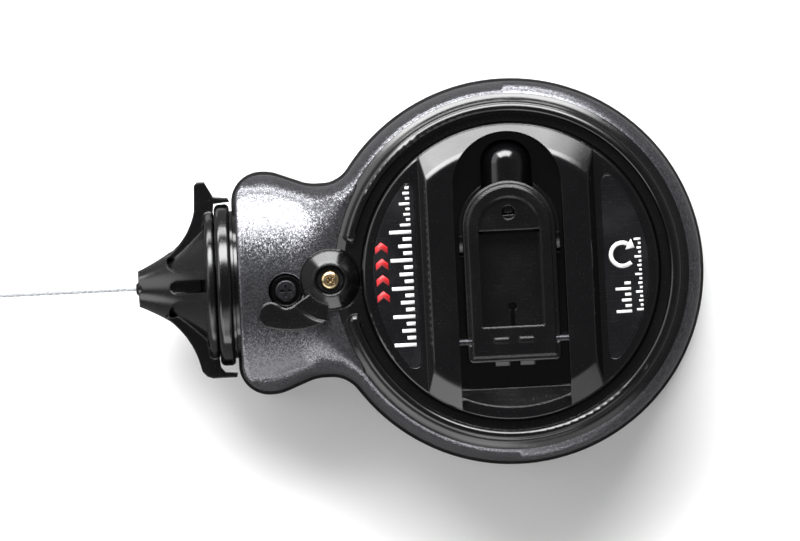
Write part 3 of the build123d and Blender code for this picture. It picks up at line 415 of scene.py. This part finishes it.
def coil_profile(inner, outer, low, high, pitch):
    """Half section of the wound pack: its outer side shows the turns of line."""
    points = [(inner, low), (outer - pitch, low)]
    turns = int((high - low) / pitch)
    step = (high - low) / turns
    for i in range(turns * 6 + 1):
        z = low + step * i / 6
        points.append((outer - 0.3 * step + 0.3 * step * abs(math.sin(math.pi * i / 6)), z))
    points += [(outer - pitch, high), (inner, high)]
    return points


def turn_profile(work, points, segments):
    """Closed ring: a half section of (radius, z) points turned about a vertical axis."""
    rings = []
    for k in range(segments):
        a = math.tau * k / segments
        rings.append([work.verts.new((r * math.cos(a), r * math.sin(a), z)) for r, z in points])
    bridge_rings(work, rings + rings[:1], cap=False)


def make_coils():
    low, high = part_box("line_wound")
    hub_r = 0.4 * high.x
    points = coil_profile(hub_r, high.x, low.z, high.z, 1.0 * MM)
    mesh_piece("line_coils", lambda w: turn_profile(w, points, 96), "spool", THREAD,
               ("line_wound",))


# ---------------------------------------------------------------- nozzle webs
WEB_EDGE = ((-98.6, 8.6), (-97.6, 9.38), (-96.0, 10.42), (-94.0, 11.83), (-93.0, 12.5))
WEB_FOOT = 7.6
WEB_HALF = 1.6 * MM


def make_nozzle_webs():
    """Webs that carry the cone's outline on from its tip to the two wings."""
    def build(work):
        for side in (1, -1):
            outline = [(x, WEB_FOOT) for x, _ in (WEB_EDGE[-1], WEB_EDGE[0])]
            outline = [(x * MM, side * y * MM) for x, y in list(WEB_EDGE) + outline]
            slab(work, outline, SPLIT_Z - WEB_HALF, SPLIT_Z + WEB_HALF)

    mesh_piece("nozzle_webs", build, "nozzle_body", GLOSS)


# ---------------------------------------------------------------- lever screw
HEAD_SIDES = 48


def cross_cutter(work, centre, reach, width, depth):
    """Two crossed bars that narrow downwards, for a cross recess."""
    for quarter in range(2):
        turn = Matrix.Rotation(math.radians(45 + 90 * quarter), 3, "Z")
        top, bottom = [], []
        for x, y in ((-1, -1), (1, -1), (1, 1), (-1, 1)):
            top.append(work.verts.new(centre + turn @ Vector((x * reach, y * width / 2, 0.4 * MM))))
            bottom.append(work.verts.new(centre + turn @ Vector((x * reach * 0.35, y * width / 3, -depth))))
        bridge_rings(work, [bottom, top])


def pan_head(work, centre, radius, height):
    """Low dome with a rolled edge on a short shank, closed at both ends."""
    profile = [(0.45, -2.4), (0.45, 0.0), (0.98, 0.0), (1.0, 0.25), (0.97, 0.55), (0.86, 0.82),
               (0.66, 0.96), (0.4, 1.0), (0.12, 1.0)]
    turns = [math.tau * k / HEAD_SIDES for k in range(HEAD_SIDES)]
    rings = []
    for r, z in profile:
        around = [Vector((r * radius * math.cos(a), r * radius * math.sin(a), z * height)) for a in turns]
        rings.append([work.verts.new(centre + point) for point in around])
    bridge_rings(work, rings)


def make_lever_screw():
    low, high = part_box("lever_screw")
    radius = (high.x - low.x) / 2
    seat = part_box("lever_washer")[1].z
    centre = Vector((LEVER_AXIS.x, LEVER_AXIS.y, seat))
    height = high.z - seat
    head = mesh_piece("lever_screw_head", lambda w: pan_head(w, centre, radius, height), "lever", BRASS,
                      ("lever_screw",))
    top = centre + Vector((0.0, 0.0, height))
    mesh = bpy.data.meshes.new("cross")
    work = bmesh.new()
    cross_cutter(work, top, radius * 0.62, 0.75 * MM, 1.1 * MM)
    bmesh.ops.recalc_face_normals(work, faces=work.faces)
    work.to_mesh(mesh)
    work.free()
    cutter = bpy.data.objects.new("cross", mesh)
    bpy.context.scene.collection.objects.link(cutter)
    cut = head.modifiers.new("cross", "BOOLEAN")
    cut.object, cut.operation, cut.solver, cut.use_self = cutter, "DIFFERENCE", "EXACT", True
    edge = head.modifiers.new("edge", "BEVEL")
    edge.width, edge.segments, edge.limit_method = 0.07 * MM, 2, "ANGLE"
    edge.angle_limit = math.radians(35)
    apply_modifiers(head)
    bpy.data.objects.remove(cutter)


# ---------------------------------------------------------------- printed marks
INK_HEIGHT = 0.03 * MM


def flat_mark(work, outline):
    """Thin printed shape: an outline of (x, y) points on the label panels."""
    slab(work, outline, LABEL_TOP, LABEL_TOP + INK_HEIGHT)


def bar(work, x, y, width, height):
    flat_mark(work, [(x - width / 2, y - height / 2), (x + width / 2, y - height / 2),
                     (x + width / 2, y + height / 2), (x - width / 2, y + height / 2)])


def rule_marks(work, x, low, high, width, pitch):
    """Graduations like a rule's: every fourth tick is the longest."""
    count = int(round((high - low) / pitch))
    for i in range(count + 1):
        length = width if i % 4 == 0 else width * (0.62 if i % 2 == 0 else 0.4)
        bar(work, x + (width - length) / 2, low + i * pitch, length, 0.5 * pitch)


def chevron(work, x, y, half, thick):
    """Arrow head that points up the panel."""
    rise = half * 0.8
    flat_mark(work, [(x - half, y), (x, y + rise), (x + half, y), (x + half, y + thick),
                     (x, y + rise + thick), (x - half, y + thick)])


def turning_arrow(work, x, y, radius, thick):
    """Three quarters of a ring with an arrow head: the way to wind."""
    inner, outer = radius - thick / 2, radius + thick / 2
    angles = [math.radians(60 + 255 * i / 32) for i in range(33)]
    points = [(x + outer * math.cos(a), y + outer * math.sin(a)) for a in angles]
    points += [(x + inner * math.cos(a), y + inner * math.sin(a)) for a in reversed(angles)]
    flat_mark(work, points)
    across, along = math.cos(angles[0]), math.sin(angles[0])
    head = 1.9 * thick
    flat_mark(work, [(x + (inner - thick) * across, y + (inner - thick) * along),
                     (x + radius * across + head * along, y + radius * along - head * across),
                     (x + (outer + thick) * across, y + (outer + thick) * along)])


def make_prints():
    left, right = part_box("label_panel_left"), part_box("label_panel_right")
    inner_x, outer_x = left[1].x, left[0].x
    span = inner_x - outer_x

    def white(work):
        rule_marks(work, inner_x - 0.34 * span, -19.5 * MM, 12.5 * MM, 6.2 * MM, 2.0 * MM)
        rule_marks(work, inner_x - 0.22 * span, 14.5 * MM, 26.5 * MM, 3.0 * MM, 1.5 * MM)
        turning_arrow(work, right[0].x + 0.42 * span, 3.2 * MM, 3.3 * MM, 1.15 * MM)
        rule_marks(work, right[0].x + 0.40 * span, -13.0 * MM, -5.0 * MM, 4.4 * MM, 1.6 * MM)
        rule_marks(work, right[0].x + 0.76 * span, -12.6 * MM, 7.4 * MM, 1.9 * MM, 1.25 * MM)

    def red(work):
        for i in range(4):
            chevron(work, outer_x + 0.22 * span, (-7.2 + 4.6 * i) * MM, 1.75 * MM, 1.9 * MM)

    mesh_piece("white_marks", white, "crank", WHITE_INK)
    mesh_piece("red_marks", red, "crank", RED_INK)


make_shell_skin()
make_line()
make_coils()
make_nozzle_webs()
make_lever_screw()
make_prints()


# ---------------------------------------------------------------- stage
VIEW_WIDTH = 0.2268          # what the picture's width covers at the height of the labels
CAMERA_RISE = 6.0            # camera above the labels
CAMERA_AIM = (-0.0314, 0.0017)
CAMERA_ROLL = math.radians(2.8)
SOFT_BOXES = (               # azimuth, elevation, half width, half height and edge in degrees, radiance
    (95.0, 42.0, 30.0, 7.0, 12.0, 13.0),
    (98.0, 3.0, 26.0, 6.0, 8.0, 11.0),
    (150.0, 30.0, 22.0, 9.0, 16.0, 2.0),
    (-122.0, 24.0, 26.0, 9.0, 12.0, 2.6),
    (-80.0, 38.0, 24.0, 9.0, 12.0, 1.1),
    (-88.0, 3.0, 16.0, 5.0, 6.0, 3.0),
)
KEY = (95.0, 42.0, 0.8, 0.7, 0.4, 2.5)      # azimuth, elevation, distance, width, height, power


def make_floor():
    """Plain pale floor: white to the camera, darker in the object's reflections."""
    bpy.ops.mesh.primitive_plane_add(size=3.0, location=(0.0, 0.0, -0.0002))
    floor = bpy.context.object
    floor.name = "floor"
    material, tree, shader = new_material("pale_floor")
    tone = remap(tree, noise(tree, 40 * MM, 2.0), 0.0, 1.0)
    seen = mix_color(tree, tone, (0.90, 0.90, 0.90, 1.0), (0.92, 0.92, 0.92, 1.0))
    camera = add(tree, "ShaderNodeLightPath").outputs["Is Camera Ray"]
    tree.links.new(mix_color(tree, camera, (0.16, 0.16, 0.16, 1.0), seen), shader.inputs["Base Color"])
    shader.inputs["Roughness"].default_value = 0.9
    shader.inputs["Specular IOR Level"].default_value = 0.0
    paint(floor, material)


def degrees_away(tree, value, centre, half, edge):
    """1 within half of a centre angle, falling softly to 0 over the edge; all in degrees."""
    away = math_node(tree, "ABSOLUTE", math_node(tree, "SUBTRACT", value, math.radians(centre)), 0.0)
    inputs = {"Value": away, "From Min": math.radians(half), "From Max": math.radians(half + edge),
              "To Min": 1.0, "To Max": 0.0}
    return add(tree, "ShaderNodeMapRange", inputs, interpolation_type="SMOOTHSTEP").outputs["Result"]


def soft_box(tree, direction, azimuth, elevation, half_width, half_height, edge, radiance):
    """Soft-edged bright patch of the surround."""
    inputs = {"Vector": direction, "Rotation": (0.0, 0.0, math.radians(-azimuth))}
    turned = add(tree, "ShaderNodeMapping", inputs).outputs["Vector"]
    axes = add(tree, "ShaderNodeSeparateXYZ", {"Vector": turned}).outputs
    across = degrees_away(tree, math_node(tree, "ARCTAN2", axes["Y"], axes["X"]), 0.0, half_width, edge)
    up = degrees_away(tree, math_node(tree, "ARCSINE", axes["Z"], 0.0), elevation, half_height, edge)
    return math_node(tree, "MULTIPLY", math_node(tree, "MULTIPLY", across, up), radiance)


def make_world():
    """Dark studio with soft boxes low around the object, so that flat black faces stay deep."""
    world = bpy.data.worlds.new("studio")
    bpy.context.scene.world = world
    world.use_nodes = True
    tree = world.node_tree
    tree.nodes.clear()
    direction = add(tree, "ShaderNodeTexCoord").outputs["Generated"]
    height = add(tree, "ShaderNodeSeparateXYZ", {"Vector": direction}).outputs["Z"]
    strength = remap(tree, height, 0.30, 0.10, 0.0, 1.0)
    for box in SOFT_BOXES:
        strength = math_node(tree, "ADD", strength, soft_box(tree, direction, *box))
    background = add(tree, "ShaderNodeBackground", {"Color": (1.0, 1.0, 1.0, 1.0), "Strength": strength})
    output = add(tree, "ShaderNodeOutputWorld")
    tree.links.new(background.outputs["Background"], output.inputs["Surface"])


def make_key():
    azimuth, elevation, distance, width, height, power = KEY
    data = bpy.data.lights.new("key_box", "AREA")
    data.shape = "RECTANGLE"
    data.size, data.size_y, data.energy = width, height, power
    lamp = bpy.data.objects.new("key_box", data)
    bpy.context.scene.collection.objects.link(lamp)
    a, e = math.radians(azimuth), math.radians(elevation)
    offset = Vector((math.cos(a) * math.cos(e), math.sin(a) * math.cos(e), math.sin(e))) * distance
    lamp.location = Vector((-0.02, 0.0, 0.03)) + offset
    lamp.rotation_mode = "QUATERNION"
    lamp.rotation_quaternion = (-offset).to_track_quat("-Z", "Y")


def make_camera():
    data = bpy.data.cameras.new("camera")
    data.sensor_width = 36.0
    data.lens = data.sensor_width * CAMERA_RISE / VIEW_WIDTH
    camera = bpy.data.objects.new("camera", data)
    bpy.context.scene.collection.objects.link(camera)
    camera.location = (*CAMERA_AIM, LABEL_TOP + CAMERA_RISE)
    camera.rotation_euler = (0.0, 0.0, -CAMERA_ROLL)
    bpy.context.scene.camera = camera


bpy.context.scene.view_settings.view_transform = "Standard"
make_floor()
make_world()
make_key()
make_camera()
